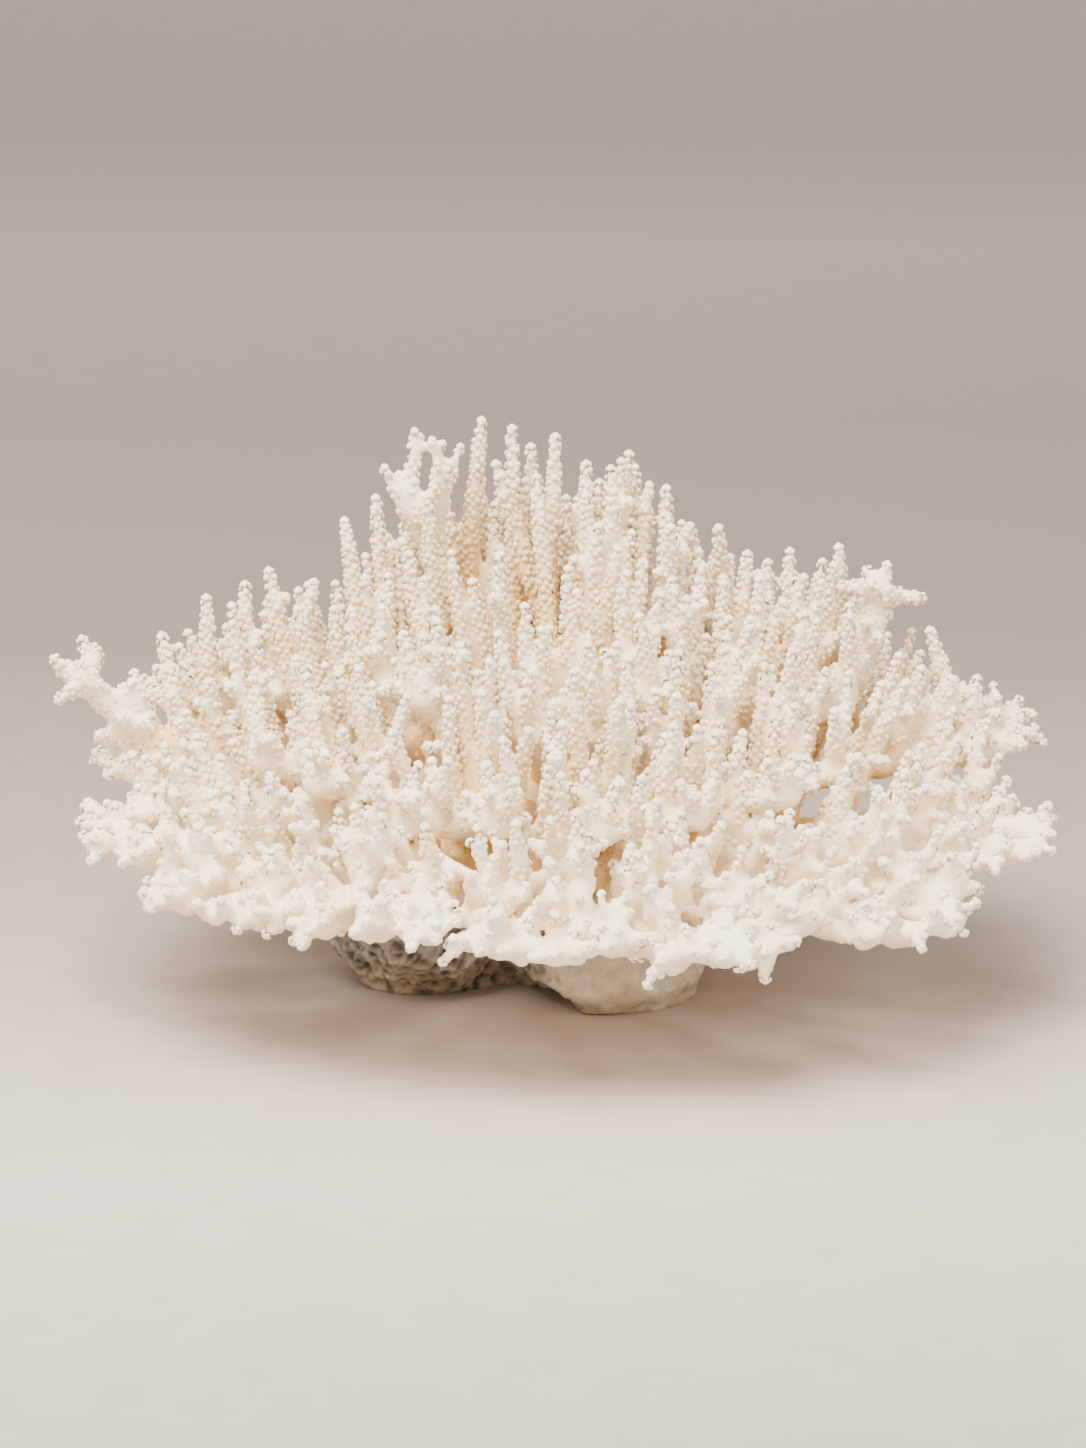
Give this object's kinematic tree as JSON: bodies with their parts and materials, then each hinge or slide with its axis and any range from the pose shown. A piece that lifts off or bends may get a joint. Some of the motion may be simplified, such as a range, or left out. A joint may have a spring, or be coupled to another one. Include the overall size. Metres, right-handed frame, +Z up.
{
  "type": "staghorn coral colony",
  "caption": "Bleached branching coral colony: boughs spread from a short trunk on an old reef foot and carry upright branchlets, rising to a fan at the back left.",
  "frame": {"origin": "middle of the underside of the reef foot, on the surface that it rests on", "axes": "+Z up, +X along the colony's longest side, the low front rim faces -Y"},
  "size_m": [0.3188, 0.2768, 0.1762],
  "materials": {
    "coral": "matt bleached coral skeleton, white at the tips and cream in the recesses",
    "reef_rock": "rough, porous old reef rock, grey and tan"
  },
  "bodies": {
    "root": {"reef_foot": "reef_rock", "trunk": "coral", "crown_bough": "coral", "rim_bough_01": "coral", "rim_bough_02": "coral", "rim_bough_03": "coral", "rim_bough_04": "coral", "rim_bough_05": "coral", "rim_bough_06": "coral", "rim_bough_07": "coral", "rim_bough_08": "coral", "rim_bough_09": "coral", "rim_bough_10": "coral", "rim_bough_11": "coral", "rim_bough_12": "coral", "rim_bough_13": "coral", "rim_bough_14": "coral", "rim_bough_15": "coral", "mid_bough_01": "coral", "mid_bough_02": "coral", "mid_bough_03": "coral", "mid_bough_04": "coral", "mid_bough_05": "coral", "mid_bough_06": "coral", "mid_bough_07": "coral", "mid_bough_08": "coral", "mid_bough_09": "coral", "inner_bough_01": "coral", "inner_bough_02": "coral", "inner_bough_03": "coral", "inner_bough_04": "coral"}
  },
  "joints": []
}
